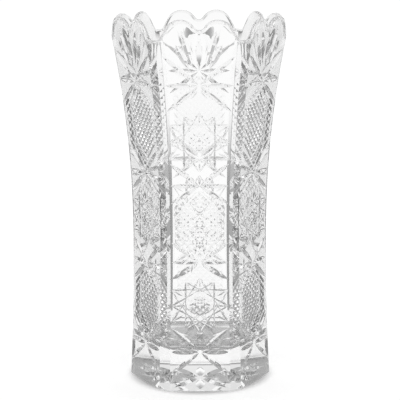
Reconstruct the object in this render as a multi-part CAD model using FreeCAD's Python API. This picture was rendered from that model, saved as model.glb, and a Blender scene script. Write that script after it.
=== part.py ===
import FreeCAD, Part
import math
import os

# Cut crystal vase: a tall, waisted vase on a plan of six wide decorated panels and six narrow
# plain pillars, with a thick solid foot, a hexagonal cavity and a scalloped rim.
# The glass is one casting, modelled as thirteen zones that meet face to face: the foot, six panels
# and six pillars. Millimetres, +Z up, origin at the middle of the underside.
# Azimuth 0 is the front (-Y) and grows towards +X; each zone is made at the front and turned.

# Overall form
height = 300.0
foot_radius = 58.3          # axis to a plan corner, at the underside
waist_radius = 54.8
waist_height = 118.0
rim_radius = 74.0           # the same outline carried up to the top of the scallops
foot_flare = 1.8            # exponents of the two flares away from the waist
rim_flare = 2.12
side_count = 6
half_sector = 30.0          # azimuth from a panel's middle to a pillar's middle
corner_angle = 25.1         # azimuth of a panel's edge, measured from the panel's middle
pillar_angle = half_sector - corner_angle
profile_step = 25.0         # spacing of the points that carry a side profile

# Cavity
wall = 5.7
floor_height = 32.0
floor_round = 9.0           # radius between the cavity's floor and its walls
foot_top = floor_height + floor_round

# Rim: two round lobes over each panel with a round dip between them, and a notch over each pillar.
# Its sideways sizes hold on the outer face at the dip's height.
shoulder_height = 284.0     # bottom of the notches
dip_height = 292.0
lobe_radius = 14.0
lobe_offset = 15.0          # from the panel's middle to a lobe's middle
flank_angle = 56.0          # how steeply a lobe falls to the notch
notch_round = 2.0           # radius where that fall meets the notch's bottom
template_near = 0.6         # reach of the rim's templates, as shares of the outer face's distance
template_far = 1.3

# Foot
foot_bevel = 1.6

# Mitre cuts: long four-sided hollows, deepest in the middle and running out at both ends
ray_width = 3.8
ray_depth = 1.5
leaf_width = 4.6
leaf_depth = 1.05
base_rays = 12              # the star under the foot
base_width = 7.2
base_depth = 2.1
base_start = 4.0            # distances from the axis to the ends of a base ray
base_end = 43.0
ray_start = 1.2             # gap between a star's centre and the start of its rays
edge_margin = 0.9           # plain glass left beside a pillar

# Tools for cutting reach past the glass
wedge_reach = 120.0
cut_overshoot = 1.6         # a mitre cutter's size over the hollow's, measured from the keel
trim_margin = 1.0

# Each star: height of its centre, rise and drop of its slanting rays at the panel's edge
star_rows = {
    "hobstar_panel": [(249.0, 23.0, 20.5), (169.0, 18.0, 14.5), (107.0, 16.0, 14.0), (33.0, 19.5, 18.0)],
    "hatched_panel": [(249.0, 23.0, 19.0), (175.0, 21.0, 17.0), (101.0, 18.0, 18.0), (33.0, 20.0, 18.0)],
}
# Fan of leaves over the top star: sideways and upward place of each leaf's root and tip
fan_leaves = [((0.0, 11.5), (0.0, 35.0)), ((5.0, 14.0), (13.5, 42.5)), ((7.5, 12.0), (18.0, 32.0))]

panel_names = ["front", "front_right", "rear_right", "rear", "rear_left", "front_left"]
pillar_names = ["front_right", "right", "rear_right", "rear_left", "left", "front_left"]
axis_up = FreeCAD.Vector(0, 0, 1)
origin = FreeCAD.Vector(0, 0, 0)


def corner_radius(z):
    """Distance from the axis to the outer plan corners at height z."""
    if z < waist_height:
        rise = (waist_height - z) / waist_height
        return waist_radius + (foot_radius - waist_radius) * rise ** foot_flare
    rise = (z - waist_height) / (height - waist_height)
    return waist_radius + (rim_radius - waist_radius) * rise ** rim_flare


def panel_distance(z):
    """Distance from the axis to a panel's outer face."""
    return corner_radius(z) * math.cos(math.radians(corner_angle))


def pillar_distance(z):
    """Distance from the axis to a pillar's outer face."""
    return corner_radius(z) * math.cos(math.radians(pillar_angle))


def panel_half_width(z):
    """Half the width of a panel's outer face at height z."""
    return corner_radius(z) * math.sin(math.radians(corner_angle))


def pillar_half_width(z):
    """Half the width of a pillar's outer face at height z."""
    return corner_radius(z) * math.sin(math.radians(pillar_angle))


def turned(shape, azimuth):
    """Copy of a shape made at the front, turned to its azimuth."""
    copy = shape.copy()
    copy.rotate(origin, axis_up, azimuth)
    return copy


def side_curve(distance, low, high, inset=0.0):
    """Smooth side profile in the plane x = 0, front side, from height low to height high."""
    count = max(3, round((high - low) / profile_step))
    heights = [low + (high - low) * i / count for i in range(count + 1)]
    curve = Part.BSplineCurve()
    curve.interpolate([FreeCAD.Vector(0, inset - distance(z), z) for z in heights])
    return curve.toShape()


def slab(distance, low, high, half_width):
    """Solid from the axis out to a front face that follows the side profile."""
    face_edge = side_curve(distance, low, high)
    bottom, top = face_edge.Vertexes[0].Point, face_edge.Vertexes[-1].Point
    edges = [face_edge,
             Part.LineSegment(top, FreeCAD.Vector(0, 0, high)).toShape(),
             Part.LineSegment(FreeCAD.Vector(0, 0, high), FreeCAD.Vector(0, 0, low)).toShape(),
             Part.LineSegment(FreeCAD.Vector(0, 0, low), bottom).toShape()]
    section = Part.Face(Part.Wire(Part.__sortEdges__(edges)))
    section.translate(FreeCAD.Vector(-half_width, 0, 0))
    return section.extrude(FreeCAD.Vector(2 * half_width, 0, 0))


def wedge(half_angle, low, high):
    """Upright three-sided prism with its edge on the axis, opening to the front."""
    side = wedge_reach * math.tan(math.radians(half_angle))
    points = [(0, 0), (-side, -wedge_reach), (side, -wedge_reach), (0, 0)]
    outline = Part.makePolygon([FreeCAD.Vector(x, y, low) for x, y in points])
    return Part.Face(outline).extrude(FreeCAD.Vector(0, 0, high - low))


def cavity_sector():
    """One sixth of the cavity: a parallel inner face, a round at the floor, and a flat floor."""
    inner_foot = wall - panel_distance(foot_top)
    round_end = FreeCAD.Vector(0, inner_foot + floor_round, floor_height)
    round_start = FreeCAD.Vector(0, inner_foot, foot_top)
    lean = floor_round * (1.0 - math.sqrt(0.5))
    round_middle = FreeCAD.Vector(0, inner_foot + lean, floor_height + lean)
    face_edge = side_curve(panel_distance, foot_top, height, inset=wall)
    top = face_edge.Vertexes[-1].Point
    axis_top = FreeCAD.Vector(0, 0, height)
    axis_foot = FreeCAD.Vector(0, 0, floor_height)
    edges = [Part.Arc(round_end, round_middle, round_start).toShape(),
             face_edge,
             Part.LineSegment(top, axis_top).toShape(),
             Part.LineSegment(axis_top, axis_foot).toShape(),
             Part.LineSegment(axis_foot, round_end).toShape()]
    section = Part.Face(Part.Wire(Part.__sortEdges__(edges)))
    reach = panel_distance(height)
    section.translate(FreeCAD.Vector(-reach, 0, 0))
    sector = section.extrude(FreeCAD.Vector(2 * reach, 0, 0))
    return sector.common(wedge(half_sector, floor_height, height))


def flank_start():
    """Angle on the lobe, and the place (x, z), where its round runs into the straight flank."""
    angle = math.radians(90.0 - flank_angle)
    return (angle, lobe_offset + lobe_radius * math.cos(angle),
            height - lobe_radius + lobe_radius * math.sin(angle))


def lobe_outline(distance):
    """Outline of a panel's rim in the upright plane at this distance in front of the axis."""
    scale = distance / panel_distance(dip_height)
    lobe_height = height - lobe_radius
    rise = lobe_height - dip_height
    dip_radius = (lobe_offset ** 2 + rise ** 2 - lobe_radius ** 2) / (2.0 * (lobe_radius + rise))
    slope = math.atan2(dip_height + dip_radius - lobe_height, -lobe_offset)
    flank, flank_x, flank_z = flank_start()
    outer = 2 * panel_half_width(height)
    outer_z = flank_z - (outer - flank_x) * math.tan(math.radians(flank_angle))

    def place(x, z):
        return FreeCAD.Vector(x * scale, -distance, z)

    def on_lobe(side, angle):
        return place(side * (lobe_offset + lobe_radius * math.cos(angle)),
                     lobe_height + lobe_radius * math.sin(angle))

    lobes = []
    for side in (1, -1):
        lobes.append(Part.Arc(on_lobe(side, flank), on_lobe(side, 0.5 * (flank + slope)),
                              on_lobe(side, slope)).toShape())
    dip = Part.Arc(on_lobe(1, slope), place(0, dip_height), on_lobe(-1, slope)).toShape()
    corners = [place(-flank_x, flank_z), place(-outer, outer_z), place(-outer, 0),
               place(outer, 0), place(outer, outer_z), place(flank_x, flank_z)]
    sides = [Part.LineSegment(first, second).toShape() for first, second in zip(corners, corners[1:])]
    return Part.Wire([lobes[0], dip, lobes[1]] + sides)


def notch_outline(distance):
    """Outline of a pillar's top in the upright plane at this distance in front of the axis."""
    scale = distance / pillar_distance(dip_height)
    flank = math.radians(flank_angle)
    _, flank_x, flank_z = flank_start()
    edge_z = flank_z - (panel_half_width(dip_height) - flank_x) * math.tan(flank)
    edge_x = pillar_half_width(dip_height)
    round_z = shoulder_height + notch_round * (1.0 - math.cos(flank))
    round_x = edge_x - (edge_z - round_z) / math.tan(flank)
    flat_x = round_x - notch_round * math.sin(flank)
    outer = 2 * edge_x
    outer_z = edge_z + (outer - edge_x) * math.tan(flank)

    def place(x, z):
        return FreeCAD.Vector(x * scale, -distance, z)

    def on_round(side):
        half = 0.5 * flank
        return place(side * (flat_x + notch_round * math.sin(half)),
                     shoulder_height + notch_round * (1.0 - math.cos(half)))

    rounds = [Part.Arc(place(side * round_x, round_z), on_round(side),
                       place(side * flat_x, shoulder_height)).toShape() for side in (1, -1)]
    flat = Part.LineSegment(place(flat_x, shoulder_height), place(-flat_x, shoulder_height)).toShape()
    corners = [place(-round_x, round_z), place(-outer, outer_z), place(-outer, 0),
               place(outer, 0), place(outer, outer_z), place(round_x, round_z)]
    sides = [Part.LineSegment(first, second).toShape() for first, second in zip(corners, corners[1:])]
    return Part.Wire([rounds[0], flat, rounds[1]] + sides)


def rim_template(outline, distance):
    """Solid that holds what is left of a zone after the rim is shaped along the radii."""
    return Part.makeLoft([outline(template_near * distance), outline(template_far * distance)], True, True)


def on_panel(side, z, depth):
    """Place at a depth under the front panel's outer face."""
    return FreeCAD.Vector(side, depth - panel_distance(z), z)


def on_base(side, out, depth):
    """Place at a depth into the foot's underside; out is towards the front."""
    return FreeCAD.Vector(side, -out, depth)


def mitre_cut(start, end, width, depth, place=on_panel):
    """Four-sided hollow between two places on a face, by default (sideways, height) on the panel."""
    middle = (0.5 * (start[0] + end[0]), 0.5 * (start[1] + end[1]))
    length = math.hypot(end[0] - start[0], end[1] - start[1])
    across = ((end[1] - start[1]) / length, (start[0] - end[0]) / length)
    corners = [start,
               (middle[0] + 0.5 * width * across[0], middle[1] + 0.5 * width * across[1]),
               end,
               (middle[0] - 0.5 * width * across[0], middle[1] - 0.5 * width * across[1])]
    keel = place(middle[0], middle[1], depth)
    mouth = [keel + (place(x, z, 0.0) - keel) * cut_overshoot for x, z in corners]
    centre = (mouth[0] + mouth[1] + mouth[2] + mouth[3]) * 0.25
    faces = []
    for first, second in zip(mouth, mouth[1:] + mouth[:1]):
        for last in (keel, centre):
            faces.append(Part.Face(Part.makePolygon([first, second, last, first])))
    return Part.Solid(Part.Shell(faces))


def star_cuts(centre_height, rise, drop):
    """Six rays of one star: two level, two rising and two falling to the panel's edges."""
    cuts = []
    for side in (-1, 1):
        for climb in (rise, 0.0, -drop):
            tip_height = centre_height + climb
            tip = (side * (panel_half_width(tip_height) - edge_margin), tip_height)
            length = math.hypot(tip[0], climb)
            start = (tip[0] * ray_start / length, centre_height + climb * ray_start / length)
            cuts.append(mitre_cut(start, tip, ray_width, ray_depth))
    return cuts


def fan_cuts(centre_height):
    """Five leaves that spread upward over the top star."""
    cuts = []
    for root, tip in fan_leaves:
        for side in ((1,) if root[0] == tip[0] else (-1, 1)):
            start = (side * root[0], centre_height + root[1])
            end = (side * tip[0], centre_height + tip[1])
            cuts.append(mitre_cut(start, end, leaf_width, leaf_depth))
    return cuts


def panel_cuts(kind):
    """All the principal mitre cuts of one kind of panel, at the front."""
    rows = star_rows[kind]
    cuts = fan_cuts(rows[0][0])
    for centre_height, rise, drop in rows:
        cuts.extend(star_cuts(centre_height, rise, drop))
    return cuts


def panel(kind, cavity):
    """Wall panel at the front, from the foot to the scalloped rim, with its mitre cuts."""
    blank = slab(panel_distance, foot_top, height, rim_radius)
    blank = blank.common(wedge(corner_angle, foot_top, height))
    blank = blank.cut(cavity).common(rim_template(lobe_outline, panel_distance(dip_height)))
    return blank.cut(panel_cuts(kind))


def pillar(cavity):
    """Plain pillar, made at the front: flat outside, with the cavity's corner behind it."""
    blank = slab(pillar_distance, foot_top, height, rim_radius)
    blank = blank.common(wedge(pillar_angle, foot_top, height))
    blank = blank.cut(turned(cavity, half_sector))
    return blank.common(rim_template(notch_outline, pillar_distance(dip_height)))


def base_cuts():
    """Rays of the star under the foot."""
    cuts = []
    for i in range(base_rays):
        turn = 2 * math.pi * i / base_rays
        side, out = math.sin(turn), math.cos(turn)
        cuts.append(mitre_cut((base_start * side, base_start * out), (base_end * side, base_end * out),
                              base_width, base_depth, on_base))
    return cuts


def foot(cavity):
    """Solid twelve-sided foot with a bevelled lower edge, the cavity's floor, the lowest stars and
    the star underneath."""
    sectors = []
    for distance, half_angle, first in ((panel_distance, corner_angle, 0.0),
                                        (pillar_distance, pillar_angle, half_sector)):
        blank = slab(distance, 0.0, foot_top, rim_radius)
        front = -distance(0.0)
        bevel = Part.makePolygon([FreeCAD.Vector(0, y, z) for y, z in
                                  ((front - trim_margin, -trim_margin),
                                   (front + foot_bevel + trim_margin, -trim_margin),
                                   (front - trim_margin, foot_bevel + trim_margin),
                                   (front - trim_margin, -trim_margin))])
        trim = Part.Face(bevel).extrude(FreeCAD.Vector(2 * rim_radius, 0, 0))
        trim.translate(FreeCAD.Vector(-rim_radius, 0, 0))
        sector = blank.cut(trim).common(wedge(half_angle, 0.0, foot_top))
        sectors.extend(turned(sector, first + 2 * half_sector * i) for i in range(side_count))
    block = sectors[0].fuse(sectors[1:]).removeSplitter().cut(cavity)
    cuts = base_cuts()
    for i in range(side_count):
        kind = "hatched_panel" if i % 2 else "hobstar_panel"
        cuts.extend(turned(cut, 2 * half_sector * i) for cut in star_cuts(*star_rows[kind][-1]))
    return block.cut(cuts)


def largest_solid(shape):
    """The single solid that a zone is made of."""
    return max(shape.Solids, key=lambda solid: solid.Volume)


def main():
    os.makedirs("parts", exist_ok=True)
    sector = cavity_sector()
    cavity = sector.fuse([turned(sector, 2 * half_sector * i) for i in range(1, side_count)]).removeSplitter()
    zones = {"foot_block": foot(cavity)}
    plain_pillar = pillar(cavity)
    for i, name in enumerate(panel_names):
        kind = "hatched_panel" if i % 2 else "hobstar_panel"
        zones["panel_" + name] = turned(panel(kind, cavity), 2 * half_sector * i)
    for i, name in enumerate(pillar_names):
        zones["pillar_" + name] = turned(plain_pillar, half_sector * (2 * i + 1))
    for name, zone in zones.items():
        solid = largest_solid(zone)
        print(name, len(zone.Solids), "solid", len(solid.Faces), "faces",
              round(solid.Volume), "mm3", "valid" if solid.isValid() else "NOT VALID")
        solid.exportStep("parts/" + name + ".step")


main()
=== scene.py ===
import math
from itertools import zip_longest
import bpy
import numpy as np
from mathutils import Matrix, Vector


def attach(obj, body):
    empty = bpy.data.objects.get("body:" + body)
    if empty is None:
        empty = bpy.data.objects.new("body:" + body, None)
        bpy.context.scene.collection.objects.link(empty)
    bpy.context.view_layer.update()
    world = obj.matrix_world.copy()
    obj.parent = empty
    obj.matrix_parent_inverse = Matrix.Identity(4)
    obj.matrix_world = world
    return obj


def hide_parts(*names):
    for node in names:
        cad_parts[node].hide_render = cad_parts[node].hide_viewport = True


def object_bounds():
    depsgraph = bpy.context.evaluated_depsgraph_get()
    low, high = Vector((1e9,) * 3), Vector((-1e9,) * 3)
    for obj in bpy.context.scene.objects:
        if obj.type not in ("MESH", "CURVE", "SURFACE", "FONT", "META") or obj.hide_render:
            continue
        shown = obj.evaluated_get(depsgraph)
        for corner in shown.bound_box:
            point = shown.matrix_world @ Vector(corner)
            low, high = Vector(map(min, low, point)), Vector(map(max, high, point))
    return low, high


# Cut crystal vase. The whole glass is lofted as one closed skin, the mitre cuts are taken out of it,
# and it is then divided along the CAD model's zone planes into one closed piece per CAD node.
# Lengths are millimetres until a mesh is written; the row frame is metres.
# "side, height" places are on the front panel's outer face: sideways from its middle, and up.
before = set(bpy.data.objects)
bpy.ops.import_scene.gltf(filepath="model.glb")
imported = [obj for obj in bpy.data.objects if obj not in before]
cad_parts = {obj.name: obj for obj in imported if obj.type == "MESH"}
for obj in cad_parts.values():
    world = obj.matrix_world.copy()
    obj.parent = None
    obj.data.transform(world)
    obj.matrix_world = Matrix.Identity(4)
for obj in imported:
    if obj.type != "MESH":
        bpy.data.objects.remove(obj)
cad_low, cad_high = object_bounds()
MM = 0.001

# Overall form, as in the CAD model
height = cad_high.z / MM
foot_radius = 58.3
waist_radius = 54.8
waist_height = 118.0
rim_radius = 74.0
foot_flare = 1.8
rim_flare = 2.12
corner_angle = math.radians(25.1)
pillar_half = math.radians(30.0) - corner_angle
wall = 5.7
floor_height = 32.0
floor_round = 9.0
foot_top = floor_height + floor_round
shoulder_height = 284.0
dip_height = 292.0
lobe_radius = 14.0
lobe_offset = 15.0
foot_bevel = 1.6
flank_angle = math.radians(56.0)    # how steeply a lobe falls to the notch between two panels
notch_round = 2.0                   # radius where that fall meets the notch's bottom
rim_round = 1.6                     # how far below its outline the rim starts to round over
outer_bevel = (2.9, 0.08)           # where the rim's outer bevel starts below its outline, and its
inner_bevel = (4.0, 0.10)           # depth as a share of the wall; the same of the inner bevel

wall_rows = 36
round_rows = 10


# ---------------------------------------------------------------- form of the glass
def corner_radius(z):
    """Distance from the axis to the outer plan corners at height z."""
    if z < waist_height:
        rise = (waist_height - z) / waist_height
        return waist_radius + (foot_radius - waist_radius) * rise ** foot_flare
    rise = (z - waist_height) / (height - waist_height)
    return waist_radius + (rim_radius - waist_radius) * rise ** rim_flare


def panel_distance(z):
    """Distance from the axis to a panel's outer face."""
    return corner_radius(z) * math.cos(corner_angle)


def half_width(z):
    """Half the width of a panel's outer face."""
    return corner_radius(z) * math.sin(corner_angle)


def outer_radius(angle, z):
    """Distance from the axis to the outer skin; angle is measured from the nearest panel's middle."""
    if abs(angle) <= corner_angle:
        return panel_distance(z) / math.cos(angle)
    return corner_radius(z) * math.cos(pillar_half) / math.cos(abs(angle) - math.radians(30.0))


def inner_distance(z):
    """Distance from the axis to the inner face behind a panel, with the round at the floor."""
    if z >= foot_top:
        return panel_distance(z) - wall
    fall = min(foot_top - z, floor_round)
    return panel_distance(foot_top) - wall - floor_round + math.sqrt(floor_round ** 2 - fall ** 2)


def inner_radius(angle, z):
    """Distance from the axis to the cavity's wall, a hexagon with its corners behind the pillars."""
    return inner_distance(z) / math.cos(angle)


def pillar_width(z):
    """Half the width of a pillar's outer face."""
    return corner_radius(z) * math.sin(pillar_half)


def rim_outline():
    """Right half of a panel's rim and of the pillar beside it, from the middle of the dip to the
    middle of the pillar: the way along the outside and the height of each sample."""
    lobe_height = height - lobe_radius
    rise = lobe_height - dip_height
    dip_radius = (lobe_offset ** 2 + rise ** 2 - lobe_radius ** 2) / (2.0 * (lobe_radius + rise))
    dip_centre = dip_height + dip_radius
    meet = math.atan2(dip_centre - lobe_height, -lobe_offset)
    samples = []
    for i in range(5):
        turn = -math.pi / 2 + (meet - math.pi / 2) * i / 5
        samples.append((dip_radius * math.cos(turn), dip_centre + dip_radius * math.sin(turn)))
    lobe_end = math.pi / 2 - flank_angle
    for i in range(17):
        turn = meet + (lobe_end - meet) * i / 16
        samples.append((lobe_offset + lobe_radius * math.cos(turn), lobe_height + lobe_radius * math.sin(turn)))
    start, top = samples[-1]
    end_height = shoulder_height + notch_round * (1 - math.cos(flank_angle))
    end = start + (top - end_height) / math.tan(flank_angle)
    edge_height = top - (half_width(dip_height) - start) * math.tan(flank_angle)
    for i in range(1, 3):
        z = top + (edge_height - top) * i / 2
        samples.append((start + (top - z) / math.tan(flank_angle), z))
    for i in range(1, 4):
        z = edge_height + (end_height - edge_height) * i / 4
        samples.append((start + (top - z) / math.tan(flank_angle), z))
    for i in range(6):
        turn = flank_angle * (1 - i / 5)
        samples.append((end + notch_round * (math.sin(flank_angle) - math.sin(turn)),
                        shoulder_height + notch_round * (1 - math.cos(turn))))
    samples.append((half_width(dip_height) + pillar_width(dip_height), shoulder_height))
    return samples


outline_side, outline_top = np.array(rim_outline()).T
edge_sample = 23                    # the outline's sample on the edge between panel and pillar


def rim_top(side, drop):
    """Height of the rim, set back inward by a distance, at a way along the outside."""
    sweep = np.linspace(-drop, drop, 81)
    along = np.abs(side + sweep)
    middle = outline_side[-1]
    along = np.where(along > middle, 2 * middle - along, along)
    return float(np.min(np.interp(along, outline_side, outline_top) - np.sqrt(drop ** 2 - sweep ** 2)))


def sector_columns():
    """Columns of one sixth of the skin, from the left pillar's middle up to, not at, the right's.
    Each has its part, way along the outside at the rim, and its place at the rim and low on the
    wall as a share of the panel's or pillar's width."""
    right = []
    for i, side in enumerate(outline_side):
        if i < edge_sample:
            right.append(("panel", side, side / outline_side[edge_sample], i / edge_sample))
        else:
            past = (side - outline_side[edge_sample]) / (outline_side[-1] - outline_side[edge_sample])
            right.append(("pillar", side, past, (i - edge_sample) / (len(outline_side) - 1 - edge_sample)))
    left = [(part, -side, -at_rim, -place) for part, side, at_rim, place in right[1:]]
    return left[::-1] + right[:-1]


def skin_point(azimuth, angle, radius, z):
    """Place on the skin in millimetres, at an angle from the middle of the panel at azimuth."""
    turn = azimuth + angle
    return (radius * math.sin(turn), -radius * math.cos(turn), z)


def column_angle(column, z, blend):
    """Angle from the panel's middle of a column at height z; blend 1 is at the rim."""
    part, side, at_rim, place = column
    share = place * (1 - blend) + at_rim * blend
    if part == "pillar":
        from_middle = math.atan((1 - abs(share)) * math.tan(pillar_half))
        return math.copysign(math.radians(30.0) - from_middle, side)
    return math.atan(share * half_width(z) / panel_distance(z))


def skin_rings():
    """Rings of the closed skin, from the middle of the underside, over the rim, to the cavity floor."""
    columns = sector_columns()

    def ring(place):
        sector = [place(column) for column in columns]
        return [skin_point(math.radians(60.0 * i), *point) for i in range(6) for point in sector]

    def low_ring(radius, z):
        return ring(lambda column: (column_angle(column, z, 0.0), radius(column_angle(column, z, 0.0)), z))

    def wall_ring(share, radius, low, bevel):
        def place(column):
            z = low + (rim_top(column[1], bevel[0]) - low) * share
            angle = column_angle(column, z, share ** 3)
            return angle, radius(angle, z), z
        return ring(place)

    def rim_ring(drop, across):
        def place(column):
            z = rim_top(column[1], drop)
            angle = column_angle(column, z, 1.0)
            return angle, (1 - across) * outer_radius(angle, z) + across * inner_radius(angle, z), z
        return ring(place)

    rings = [low_ring(lambda angle: outer_radius(angle, 0.0) * share, 0.0) for share in (0.06, 0.3, 0.6, 0.85)]
    for i in range(5):
        turn = math.pi / 2 * i / 5
        inset = foot_bevel * (1 - math.sin(turn))
        rings.append(low_ring(lambda angle: outer_radius(angle, 0.0) - inset, foot_bevel * (1 - math.cos(turn))))
    rings += [wall_ring(i / wall_rows, outer_radius, foot_bevel, outer_bevel) for i in range(wall_rows + 1)]
    for i in range(round_rows + 1):
        turn = math.pi * i / round_rows
        rounding = 0.5 * (1 - math.cos(turn))
        across = outer_bevel[1] + (1 - inner_bevel[1] - outer_bevel[1]) * rounding
        rings.append(rim_ring(rim_round * (1 - math.sin(turn)), across))
    rings += [wall_ring(1 - i / wall_rows, inner_radius, foot_top, inner_bevel) for i in range(wall_rows + 1)]
    for i in range(1, 7):
        z = foot_top - floor_round * math.sin(math.pi / 2 * i / 6)
        rings.append(low_ring(lambda angle: inner_radius(angle, z), z))
    for share in (0.7, 0.4, 0.1):
        rings.append(low_ring(lambda angle: inner_radius(angle, floor_height) * share, floor_height))
    return rings


def glass_skin():
    """One closed mesh of the uncut glass."""
    rings = skin_rings()
    count = len(rings[0])
    verts = [point for ring in rings for point in ring]
    faces = []
    for r in range(len(rings) - 1):
        for i in range(count):
            j = (i + 1) % count
            faces.append((r * count + i, r * count + j, (r + 1) * count + j, (r + 1) * count + i))
    faces.append(tuple(reversed(range(count))))
    faces.append(tuple(range((len(rings) - 1) * count, len(rings) * count)))
    return mesh_object("glass", verts, faces)


# ---------------------------------------------------------------- meshes and booleans
def mesh_object(name, verts, faces):
    """Object from vertices in millimetres."""
    mesh = bpy.data.meshes.new(name)
    mesh.from_pydata([(x * MM, y * MM, z * MM) for x, y, z in verts], [], faces)
    mesh.validate()
    obj = bpy.data.objects.new(name, mesh)
    bpy.context.scene.collection.objects.link(obj)
    return obj


def boolean(target, tool, operation):
    """Changes target's mesh by one boolean with tool, which is left as it is."""
    modifier = target.modifiers.new("cut", "BOOLEAN")
    modifier.operation = operation
    modifier.solver = "MANIFOLD"
    modifier.object = tool
    graph = bpy.context.evaluated_depsgraph_get()
    made = bpy.data.meshes.new_from_object(target.evaluated_get(graph), depsgraph=graph)
    target.modifiers.clear()
    old = target.data
    target.data = made
    bpy.data.meshes.remove(old)


def discard(obj):
    mesh = obj.data
    bpy.data.objects.remove(obj)
    bpy.data.meshes.remove(mesh)


# ---------------------------------------------------------------- mitre cuts
steep = 0.92                # depth over half width of the stars' and hobstars' cuts
middling = 0.6              # the same of the star under the foot
gentle = 0.54               # the same of the leaves
shallow = 0.39              # the same of the diamond hatching
lip = 0.22                  # half the width of the rounded lip beside a cut
lift = 0.12                 # how far a cutter stands out of the glass


def on_panel(side, z, depth):
    """Front-panel place at a depth under its outer face."""
    return (side, depth - panel_distance(z), z)


def cut_solid(start, end, reach, profile, slope=steep, place=on_panel, stations=9):
    """Closed cutter along a straight line on a face. profile(t) is from 0 to 1, times half width."""
    along = (end[0] - start[0], end[1] - start[1])
    length = math.hypot(*along)
    across = (-along[1] / length, along[0] / length)
    verts, faces = [], []
    for i in range(stations):
        t = i / (stations - 1)
        half = (reach + lip) * profile(t) - lip
        inner = max(half - lip, 0.02)
        lip_depth = (half + lip - inner) * slope / 2
        keel = max(half * slope, lip_depth + 0.004)
        outer = max(half + lip, 0.0) + 2 * lift / slope
        x, z = start[0] + along[0] * t, start[1] + along[1] * t
        for offset, depth in ((outer, -lift), (inner, lip_depth), (0.0, keel),
                              (-inner, lip_depth), (-outer, -lift)):
            verts.append(place(x + across[0] * offset, z + across[1] * offset, depth))
    for i in range(stations - 1):
        for k in range(5):
            a, b = i * 5 + k, i * 5 + (k + 1) % 5
            faces.append((a, a + 5, b + 5, b))
    last = (stations - 1) * 5
    faces.append((0, 1, 2, 3, 4))
    faces.append((last + 4, last + 3, last + 2, last + 1, last))
    return verts, faces


def lens(t):
    """Even lens: deepest in the middle."""
    return 4 * t * (1 - t)


def leaf(t):
    """Leaf with its belly two thirds of the way out."""
    return min(1.0, 2.6 * t ** 0.9 * (1 - t ** 2.4) * 0.86)


def ray(t):
    """Star ray: nearly even, running out at both ends."""
    return (4 * t * (1 - t)) ** 0.6


def chord(t):
    """Groove of the hobstar, deep near its two tips and light between them."""
    return min(1.0, 10 * t, 10 * (1 - t)) * (0.4 + 0.6 * abs(2 * t - 1) ** 1.5)


# ---------------------------------------------------------------- layout of the pattern
star_rows = {
    "hobstar": [(249.0, 23.0, 20.5), (169.0, 18.0, 14.5), (107.0, 16.0, 14.0), (33.0, 19.5, 18.0)],
    "hatched": [(249.0, 23.0, 19.0), (175.0, 21.0, 17.0), (101.0, 18.0, 18.0), (33.0, 20.0, 18.0)],
}
fan_leaves = [((0.0, 11.5), (0.0, 35.0)), ((5.0, 14.0), (13.5, 42.5)), ((7.5, 12.0), (18.0, 32.0))]
small_leaf = ((1.5, -4.0), (6.5, -10.5))    # the pair just under the top star, from its middle
small_reach = 1.2
edge_margin = 0.9
ray_reach = 1.9
low_ray_reach = 2.3         # the third star's lower rays
base_reach = 3.6            # rays of the star under the foot
base_start, base_end = 4.0, 43.0
leaf_reach = 2.3
hatch_step = 4.05
hatch_reach = 1.7
chord_reach = 1.15
spoke_reach = 0.8
button_radius = 8.6
button_step = 3.6
button_reach = 1.5


def star(rows, level):
    """Six rays of one star."""
    centre, rise, drop = rows[level]
    cuts = []
    for side in (-1, 1):
        for climb in (rise, 0.0, -drop):
            tip = (side * (half_width(centre + climb) - edge_margin), centre + climb)
            length = math.hypot(tip[0], climb)
            start = (tip[0] * 1.2 / length, centre + climb * 1.2 / length)
            reach = low_ray_reach if level == 2 and climb < 0 else ray_reach
            cuts.append(cut_solid(start, tip, reach, ray))
    return cuts


def fan(centre):
    """Leaves that spread upward from the top star, and the small pair under it; a list for every
    other leaf."""
    groups = [[], []]
    leaves = [(root, tip, leaf_reach, leaf) for root, tip in fan_leaves]
    leaves.append((*small_leaf, small_reach, lens))
    for i, (root, tip, reach, profile) in enumerate(leaves):
        for side in ((1,) if root[0] == tip[0] else (-1, 1)):
            start = (side * root[0], centre + root[1])
            end = (side * tip[0], centre + tip[1])
            groups[i % 2].append(cut_solid(start, end, reach, profile, gentle))
    return groups


def field_outline(rows, level):
    """Hexagon between two stars that the star rays leave free: corners, anticlockwise."""
    inset = 3.4
    top, _, drop = rows[level]
    bottom, rise, _ = rows[level + 1]
    high, low = top - drop, bottom + rise
    right_high = half_width(high) - inset
    right_low = half_width(low) - inset
    return [(0, bottom + inset), (right_low, low + inset * 0.4), (right_high, high - inset * 0.4),
            (0, top - inset), (-right_high, high - inset * 0.4), (-right_low, low + inset * 0.4)]


def clipped(line_point, direction, outline):
    """Stretch of a line inside a convex outline, as two places, or None."""
    low, high = -1e9, 1e9
    for (ax, az), (bx, bz) in zip(outline, outline[1:] + outline[:1]):
        edge = (bx - ax, bz - az)
        offset = edge[0] * (line_point[1] - az) - edge[1] * (line_point[0] - ax)
        rate = edge[0] * direction[1] - edge[1] * direction[0]
        if abs(rate) < 1e-9:
            if offset < 0:
                return None
            continue
        t = -offset / rate
        if rate > 0:
            low = max(low, t)
        else:
            high = min(high, t)
    if high - low < hatch_step * 0.8:
        return None
    return ((line_point[0] + direction[0] * low, line_point[1] + direction[1] * low),
            (line_point[0] + direction[0] * high, line_point[1] + direction[1] * high))


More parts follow.
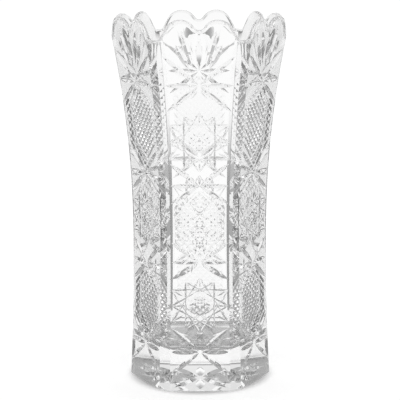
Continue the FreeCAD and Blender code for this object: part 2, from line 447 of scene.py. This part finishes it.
def hatch(outline, step, reach, middle):
    """Crossed grooves inside an outline, as four groups that don't touch within a group."""
    groups = [[], [], [], []]
    slant = math.sqrt(0.5)
    for way in (0, 1):
        direction = (slant, slant if way else -slant)
        normal = (-direction[1], direction[0])
        for i in range(-14, 15):
            point = (normal[0] * (i + 0.5) * step, middle + normal[1] * (i + 0.5) * step)
            stretch = clipped(point, direction, outline)
            if stretch:
                length = math.hypot(stretch[1][0] - stretch[0][0], stretch[1][1] - stretch[0][1])
                run_out = length / (1.6 * reach)
                shape = lambda t, run_out=run_out: min(1.0, run_out * t, run_out * (1 - t))
                groups[way * 2 + i % 2].append(cut_solid(*stretch, reach, shape, shallow))
    return groups


def ring_outline(centre, radius, count, turn=0.0):
    """Regular outline on the panel."""
    return [(radius * math.cos(turn + 2 * math.pi * i / count),
             centre + radius * math.sin(turn + 2 * math.pi * i / count)) for i in range(count)]


star_fields = {"hobstar": {0: 204.0, 2: 71.5}, "hatched": {1: 138.0}}


def hobstar(centre, room):
    """Twelve-pointed star of straight cuts from each tip to the fourth tip on, a short cut inward
    from each tip, and a hatched button; groups that don't touch within a group."""
    tips = []
    for i in range(12):
        turn = math.pi / 6 * i
        reach = room / max(abs(math.cos(turn)), math.cos(math.pi / 6) if i % 6 in (1, 5) else 1.0)
        tips.append((reach * math.cos(turn), reach * math.sin(turn)))
    groups = []
    for first in range(6):
        pair = []
        for i in (first, first + 6):
            (ax, az), (bx, bz) = tips[i], tips[(i + 4) % 12]
            pair.append(cut_solid((ax, centre + az), (bx, centre + bz), chord_reach, chord, stations=13))
        groups.append(pair)
    groups.append([cut_solid((0.96 * x, centre + 0.96 * z), (0.6 * x, centre + 0.6 * z), spoke_reach, lens)
                   for x, z in tips])
    return groups + hatch(ring_outline(centre, button_radius, 12), button_step, button_reach, centre)


def panel_groups(kind):
    """Every cut of one kind of panel, in groups; cuts within a group don't touch."""
    rows = star_rows[kind]
    stars = [cut for level in range(4) for cut in star(rows, level)] + base_star()
    fields = []
    for level in range(3):
        if level in star_fields[kind]:
            middle = star_fields[kind][level]
            fields.append(hobstar(middle, half_width(middle) - edge_margin))
        else:
            middle = 0.5 * (rows[level][0] + rows[level + 1][0])
            fields.append(hatch(field_outline(rows, level), hatch_step, hatch_reach, middle))
    return [stars] + [sum(groups, []) for groups in zip_longest(fan(rows[0][0]), *fields, fillvalue=[])]


def on_base(side, out, depth):
    """Place on the underside at a depth into the foot; out is towards the front."""
    return (side, -out, depth)


def base_star():
    """The two rays of the underside's star that lie in one sixth of it."""
    cuts = []
    for azimuth in (0.0, math.radians(30.0)):
        side, out = math.sin(azimuth), math.cos(azimuth)
        cuts.append(cut_solid((base_start * side, base_start * out), (base_end * side, base_end * out),
                              base_reach, lens, middling, on_base))
    return cuts


def turned(verts, azimuth):
    """Places turned about the axis from the front to an azimuth."""
    c, s = math.cos(azimuth), math.sin(azimuth)
    return [(x * c - y * s, x * s + y * c, z) for x, y, z in verts]


def cut_pattern(glass):
    """Takes every mitre cut out of the glass, one group of all six panels at a time."""
    kinds = [panel_groups("hobstar"), panel_groups("hatched")]
    for k in range(max(len(groups) for groups in kinds)):
        verts, faces = [], []
        for i in range(6):
            groups = kinds[i % 2]
            if k >= len(groups):
                continue
            for cut_verts, cut_faces in groups[k]:
                base = len(verts)
                verts += turned(cut_verts, math.radians(60.0 * i))
                faces += [tuple(v + base for v in face) for face in cut_faces]
        tool = mesh_object("cutters", verts, faces)
        boolean(glass, tool, "DIFFERENCE")
        discard(tool)


# ---------------------------------------------------------------- division into zones
panel_names = ["front", "front_right", "rear_right", "rear", "rear_left", "front_left"]
pillar_names = ["front_right", "right", "rear_right", "rear_left", "left", "front_left"]


def wedge_tool(azimuth, half_angle, low, high, reach=120.0):
    """Upright three-sided prism with its edge on the axis."""
    side = reach * math.tan(half_angle)
    plan = turned([(0, 0, 0), (-side, -reach, 0), (side, -reach, 0)], azimuth)
    verts = [(x, y, z) for z in (low, high) for x, y, _ in plan]
    faces = [(2, 1, 0), (3, 4, 5), (0, 1, 4, 3), (1, 2, 5, 4), (2, 0, 3, 5)]
    return mesh_object("zone", verts, faces)


def block_tool(low, high, reach=120.0):
    """Upright square block round the axis."""
    plan = [(-reach, -reach), (reach, -reach), (reach, reach), (-reach, reach)]
    verts = [(x, y, z) for z in (low, high) for x, y in plan]
    faces = [(3, 2, 1, 0), (4, 5, 6, 7), (0, 1, 5, 4), (1, 2, 6, 5), (2, 3, 7, 6), (3, 0, 4, 7)]
    return mesh_object("zone", verts, faces)


def zone_tools():
    """CAD node name and dividing solid of each zone, with the planes it is divided along."""
    above = height + 20
    zones = [("foot_block", block_tool(-20, foot_top), [((0, 0, 1), foot_top)])]
    for names, prefix, half, first in ((panel_names, "panel_", corner_angle, 0.0),
                                       (pillar_names, "pillar_", pillar_half, 30.0)):
        for i, name in enumerate(names):
            azimuth = math.radians(first + 60.0 * i)
            planes = [((0, 0, 1), foot_top)]
            for edge in (azimuth - half, azimuth + half):
                planes.append(((math.cos(edge), math.sin(edge), 0), 0.0))
            zones.append((prefix + name, wedge_tool(azimuth, half, foot_top, above), planes))
    return zones


def mark_joint_faces(obj, planes):
    """Gives the faces that lie in a dividing plane the second material slot."""
    mesh = obj.data
    count = len(mesh.polygons)
    centres = np.empty(count * 3)
    normals = np.empty(count * 3)
    mesh.polygons.foreach_get("center", centres)
    mesh.polygons.foreach_get("normal", normals)
    centres, normals = centres.reshape(-1, 3), normals.reshape(-1, 3)
    index = np.zeros(count, dtype=np.int32)
    for normal, offset in planes:
        normal = np.array(normal)
        near = np.abs(centres @ normal - offset * MM) < 2e-6
        index[near & (np.abs(normals @ normal) > 0.9999)] = 1
    mesh.polygons.foreach_set("material_index", index)
    return index


def finish_surface(obj, joint):
    """Sharp edges at the cuts and round the joint faces, smooth elsewhere."""
    mesh = obj.data
    mesh.polygons.foreach_set("use_smooth", np.ones(len(mesh.polygons), dtype=bool))
    sharp_limit = math.cos(math.radians(15.0))
    edge_faces = {}
    for polygon in mesh.polygons:
        for key in polygon.edge_keys:
            edge_faces.setdefault(key, []).append(polygon.index)
    normals = np.empty(len(mesh.polygons) * 3)
    mesh.polygons.foreach_get("normal", normals)
    normals = normals.reshape(-1, 3)
    sharp = np.zeros(len(mesh.edges), dtype=bool)
    for edge in mesh.edges:
        faces = edge_faces.get(edge.key, [])
        if len(faces) != 2:
            sharp[edge.index] = True
            continue
        first, second = faces
        flat = normals[first] @ normals[second]
        sharp[edge.index] = flat < sharp_limit or joint[first] != joint[second]
    attribute = mesh.attributes.get("sharp_edge") or mesh.attributes.new("sharp_edge", "BOOLEAN", "EDGE")
    attribute.data.foreach_set("value", sharp)
    weighted = obj.modifiers.new("normals", "WEIGHTED_NORMAL")
    weighted.keep_sharp = True
    weighted.weight = 90


# ---------------------------------------------------------------- materials, light and camera
def crystal_material():
    """Clear polished crystal."""
    material = bpy.data.materials.new("crystal")
    material.use_nodes = True
    shader = material.node_tree.nodes["Principled BSDF"]
    shader.inputs["Base Color"].default_value = (1.0, 1.0, 1.0, 1.0)
    shader.inputs["Roughness"].default_value = 0.0
    shader.inputs["IOR"].default_value = 1.54
    shader.inputs["Transmission Weight"].default_value = 1.0
    return material


def joint_material():
    """Nothing at all: inside the glass, where two zones meet."""
    material = bpy.data.materials.new("joint_face")
    material.use_nodes = True
    nodes, links = material.node_tree.nodes, material.node_tree.links
    nodes.clear()
    clear = nodes.new("ShaderNodeBsdfTransparent")
    output = nodes.new("ShaderNodeOutputMaterial")
    links.new(clear.outputs[0], output.inputs["Surface"])
    return material


def make_world():
    """White studio: a bright wall on each of the four sides with grey corners, a bright table whose
    far edge is a darker band, a narrow dark card beside each side wall, and dimmer overhead."""
    world = bpy.data.worlds.new("studio")
    bpy.context.scene.world = world
    world.use_nodes = True
    nodes, links = world.node_tree.nodes, world.node_tree.links
    nodes.clear()
    output = nodes.new("ShaderNodeOutputWorld")
    background = nodes.new("ShaderNodeBackground")
    backdrop = nodes.new("ShaderNodeBackground")
    mix = nodes.new("ShaderNodeMixShader")
    path = nodes.new("ShaderNodeLightPath")
    place = nodes.new("ShaderNodeTexCoord")
    split = nodes.new("ShaderNodeSeparateXYZ")
    links.new(place.outputs["Generated"], split.inputs[0])

    def maths(operation, first, second=None):
        node = nodes.new("ShaderNodeMath")
        node.operation = operation
        for socket, value in zip(node.inputs, (first, second)):
            if isinstance(value, (int, float)):
                socket.default_value = value
            elif value is not None:
                links.new(value, socket)
        return node.outputs[0]

    def ramp(value, low, high, out_low, out_high):
        node = nodes.new("ShaderNodeMapRange")
        node.interpolation_type = "SMOOTHSTEP"
        links.new(value, node.inputs["Value"])
        for name, number in (("From Min", low), ("From Max", high), ("To Min", out_low), ("To Max", out_high)):
            node.inputs[name].default_value = number
        return node.outputs["Result"]

    def angle_ramp(value, low, high, out_low, out_high):
        return ramp(value, math.radians(low), math.radians(high), out_low, out_high)

    def blend(first, second, share):
        return maths("ADD", first, maths("MULTIPLY", maths("SUBTRACT", second, first), share))

    across = maths("ABSOLUTE", split.outputs["X"])
    ahead = maths("ABSOLUTE", split.outputs["Y"])
    up = split.outputs["Z"]
    azimuth = maths("ARCTAN2", across, ahead)
    walls = angle_ramp(azimuth, 35.0, 43.6, 1.0, 0.36)
    table_edge = angle_ramp(azimuth, 8.3, 20.4, 1.0, 0.22)
    room = blend(table_edge, walls, ramp(up, -0.176, -0.102, 0.0, 1.0))
    room = blend(0.94, room, ramp(up, -0.324, -0.264, 0.0, 1.0))
    room = maths("ADD", room, angle_ramp(azimuth, 68.0, 88.0, 0.0, 0.5))
    off_card = maths("ABSOLUTE", maths("SUBTRACT", azimuth, math.radians(67.7)))
    card = angle_ramp(off_card, 3.3, 6.5, 0.2, 1.0)
    overhead = ramp(up, 0.202, 0.482, 1.0, 0.43)
    lit = maths("MULTIPLY", maths("MULTIPLY", room, card), overhead)
    strength = maths("ADD", maths("MULTIPLY", lit, 0.96), 0.025)
    links.new(strength, background.inputs["Strength"])
    background.inputs["Color"].default_value = (1.0, 1.0, 1.0, 1.0)
    backdrop.inputs["Color"].default_value = (1.0, 1.0, 1.0, 1.0)
    backdrop.inputs["Strength"].default_value = 1.05
    links.new(path.outputs["Is Camera Ray"], mix.inputs[0])
    links.new(background.outputs[0], mix.inputs[1])
    links.new(backdrop.outputs[0], mix.inputs[2])
    links.new(mix.outputs[0], output.inputs["Surface"])


def make_floor():
    """Pale glowing table top, a round sheet just under the foot that fades out into the backdrop; its glow is
    dimmed under the foot as a painted shadow.
    """
    radius, count = 120.0, 96
    verts = [(radius * math.cos(2 * math.pi * i / count), radius * math.sin(2 * math.pi * i / count), -0.25)
             for i in range(count)]
    floor = mesh_object("floor", verts, [tuple(range(count))])
    material = bpy.data.materials.new("table")
    material.use_nodes = True
    nodes, links = material.node_tree.nodes, material.node_tree.links
    shader = nodes["Principled BSDF"]
    place = nodes.new("ShaderNodeTexCoord")
    distance = nodes.new("ShaderNodeVectorMath")
    distance.operation = "LENGTH"
    links.new(place.outputs["Object"], distance.inputs[0])
    # Painted shadow: the emission falls from 0.70 to 0.14 within 64 mm of the middle, darkening the sheet under
    # the foot; the alpha fades the sheet out between 80 and 118 mm.
    for socket, limits in (("Emission Strength", (0.050, 0.064, 0.14, 0.70)),
                           ("Alpha", (0.080, 0.118, 1.0, 0.0))):
        fade = nodes.new("ShaderNodeMapRange")
        fade.interpolation_type = "SMOOTHSTEP"
        for name, number in zip(("From Min", "From Max", "To Min", "To Max"), limits):
            fade.inputs[name].default_value = number
        links.new(distance.outputs["Value"], fade.inputs["Value"])
        links.new(fade.outputs["Result"], shader.inputs[socket])
    shader.inputs["Base Color"].default_value = (0.9, 0.9, 0.9, 1.0)
    shader.inputs["Roughness"].default_value = 0.9
    shader.inputs["Emission Color"].default_value = (1.0, 1.0, 1.0, 1.0)
    floor.data.materials.append(material)


def make_camera():
    """Long-lens view of the front from a little above the rim's height."""
    data = bpy.data.cameras.new("camera")
    camera = bpy.data.objects.new("camera", data)
    bpy.context.scene.collection.objects.link(camera)
    camera.location = (0.0, -1.1186, 0.3699)
    camera.rotation_euler = (math.radians(90.0 - 11.13), math.radians(0.22), 0.0)
    data.sensor_width = 36.0
    data.lens = 124.3
    data.shift_x = 0.0037
    data.shift_y = -0.0062
    data.clip_start = 0.01
    data.clip_end = 50.0
    bpy.context.scene.camera = camera


def set_render():
    """Enough bounces for light to cross many glass faces, and plain white for white."""
    scene = bpy.context.scene
    scene.view_settings.view_transform = "Standard"
    scene.cycles.max_bounces = 48
    scene.cycles.transmission_bounces = 48
    scene.cycles.glossy_bounces = 24
    scene.cycles.transparent_max_bounces = 96
    scene.cycles.caustics_refractive = True
    scene.cycles.caustics_reflective = True


def main():
    glass = glass_skin()
    cut_pattern(glass)
    crystal, joint = crystal_material(), joint_material()
    for name, tool, planes in zone_tools():
        piece = bpy.data.objects.new("crystal_" + name, glass.data.copy())
        bpy.context.scene.collection.objects.link(piece)
        boolean(piece, tool, "INTERSECT")
        discard(tool)
        piece.data.materials.clear()
        piece.data.materials.append(crystal)
        piece.data.materials.append(joint)
        marks = mark_joint_faces(piece, planes)
        finish_surface(piece, marks)
        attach(piece, "root")
        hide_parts(name)
        print(piece.name, len(piece.data.polygons), "faces,", int(marks.sum()), "in joints")
    discard(glass)
    make_world()
    make_floor()
    make_camera()
    set_render()


main()
